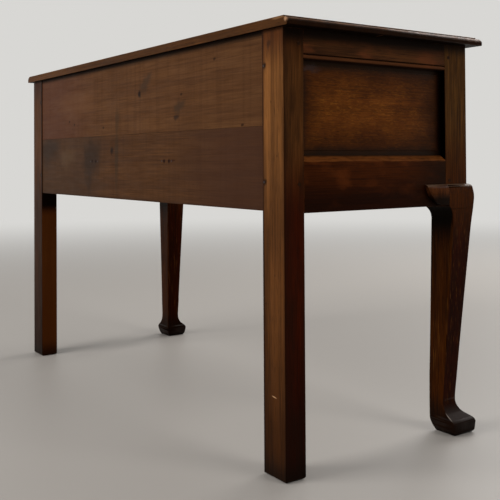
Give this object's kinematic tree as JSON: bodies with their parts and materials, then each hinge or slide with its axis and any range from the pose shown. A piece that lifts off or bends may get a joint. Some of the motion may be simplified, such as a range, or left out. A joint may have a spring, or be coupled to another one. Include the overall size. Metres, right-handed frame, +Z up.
{
  "type": "dresser base",
  "caption": "Oak dresser base with a row of drawers, panelled ends, square back legs and cabriole front legs.",
  "frame": {"origin": "on the floor, under the middle of the top", "axes": "+X along the front, to the right of someone who faces the drawers; -Y is the drawer front; +Z up"},
  "size_m": [1.25, 0.5, 0.8],
  "materials": {
    "carcase_oak": "old dark red-brown oak, hand-polished, worn on the edges",
    "top_oak": "old mid-brown oak, waxed",
    "back_oak": "dry unpolished old oak boards",
    "inner_oak": "bare oak, never polished",
    "brass": "cast brass, dulled and rubbed bright on the grip",
    "iron": "dark rusted iron"
  },
  "bodies": {
    "root": {"back_leg_left": "carcase_oak", "front_leg_left": "carcase_oak", "knee_ear_left_side": "carcase_oak", "knee_ear_left_front": "carcase_oak", "side_top_rail_left": "carcase_oak", "side_bottom_rail_left": "carcase_oak", "side_panel_left": "carcase_oak", "drawer_divider_left": "carcase_oak", "runner_left_end": "inner_oak", "runner_left_middle": "inner_oak", "back_leg_right": "carcase_oak", "front_leg_right": "carcase_oak", "knee_ear_right_side": "carcase_oak", "knee_ear_right_front": "carcase_oak", "side_top_rail_right": "carcase_oak", "side_bottom_rail_right": "carcase_oak", "side_panel_right": "carcase_oak", "drawer_divider_right": "carcase_oak", "runner_right_end": "inner_oak", "runner_right_middle": "inner_oak", "front_top_rail": "carcase_oak", "front_bottom_rail": "carcase_oak", "back_board_upper": "back_oak", "back_board_lower": "back_oak", "top_front_board": "top_oak", "top_back_board": "top_oak", "drawer_guides": "inner_oak", "drawer_kickers": "inner_oak", "drawer_stops": "inner_oak", "top_glue_blocks": "inner_oak", "frame_pegs": "carcase_oak", "back_nails": "iron"},
    "left_drawer": {"left_drawer_front": "carcase_oak", "left_drawer_left_side": "inner_oak", "left_drawer_right_side": "inner_oak", "left_drawer_back": "inner_oak", "left_drawer_bottom": "inner_oak", "left_drawer_bead": "carcase_oak", "left_handle_plate": "brass", "left_handle_posts": "brass"},
    "left_bail": {"left_handle_bail": "brass"},
    "middle_drawer": {"middle_drawer_front": "carcase_oak", "middle_drawer_left_side": "inner_oak", "middle_drawer_right_side": "inner_oak", "middle_drawer_back": "inner_oak", "middle_drawer_bottom": "inner_oak", "middle_drawer_bead": "carcase_oak", "middle_handle_plate": "brass", "middle_handle_posts": "brass"},
    "middle_bail": {"middle_handle_bail": "brass"},
    "right_drawer": {"right_drawer_front": "carcase_oak", "right_drawer_left_side": "inner_oak", "right_drawer_right_side": "inner_oak", "right_drawer_back": "inner_oak", "right_drawer_bottom": "inner_oak", "right_drawer_bead": "carcase_oak", "right_handle_plate": "brass", "right_handle_posts": "brass"},
    "right_bail": {"right_handle_bail": "brass"}
  },
  "joints": [
    {"name": "left_drawer_slide", "type": "slide", "parent": "root", "child": "left_drawer", "axis": [0, -1, 0], "range_m": [0, 0.3]},
    {"name": "left_bail_swing", "type": "hinge", "parent": "left_drawer", "child": "left_bail", "pos_m": [-0.372, -0.2385, 0.6624], "axis": [-1, 0, 0], "range_deg": [0, 100]},
    {"name": "middle_drawer_slide", "type": "slide", "parent": "root", "child": "middle_drawer", "axis": [0, -1, 0], "range_m": [0, 0.3]},
    {"name": "middle_bail_swing", "type": "hinge", "parent": "middle_drawer", "child": "middle_bail", "pos_m": [0, -0.2385, 0.6624], "axis": [-1, 0, 0], "range_deg": [0, 100]},
    {"name": "right_drawer_slide", "type": "slide", "parent": "root", "child": "right_drawer", "axis": [0, -1, 0], "range_m": [0, 0.3]},
    {"name": "right_bail_swing", "type": "hinge", "parent": "right_drawer", "child": "right_bail", "pos_m": [0.372, -0.2385, 0.6624], "axis": [-1, 0, 0], "range_deg": [0, 100]}
  ]
}
